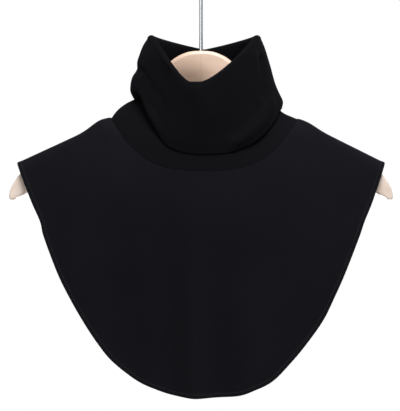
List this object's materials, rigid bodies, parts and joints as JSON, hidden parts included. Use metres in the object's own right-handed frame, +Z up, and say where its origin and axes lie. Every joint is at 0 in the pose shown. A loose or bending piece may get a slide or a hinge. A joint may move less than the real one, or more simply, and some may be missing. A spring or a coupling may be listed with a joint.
{
  "type": "turtleneck dickey on clothes hanger",
  "caption": "Bib-shaped knit turtleneck dickey with a folded collar, front and back panels and a stitched hem, hung on a flat wooden clothes hanger with a wire hook.",
  "frame": {"origin": "inside top of the hanger's hook, where a clothes rail holds it", "axes": "+Z is up, along the hook's stem; the front of the dickey faces -Y; +X is to the right in a view of the front"},
  "size_m": [0.4208, 0.1019, 0.496],
  "materials": {
    "collar_knit": "matte knit",
    "bib_knit": "matte knit",
    "pale_wood": "satin",
    "bright_wire": "polished"
  },
  "bodies": {
    "root": {"collar": "collar_knit", "bib_front": "bib_knit", "bib_back": "bib_knit", "hanger_body": "pale_wood", "hanger_hook": "bright_wire"}
  },
  "joints": []
}
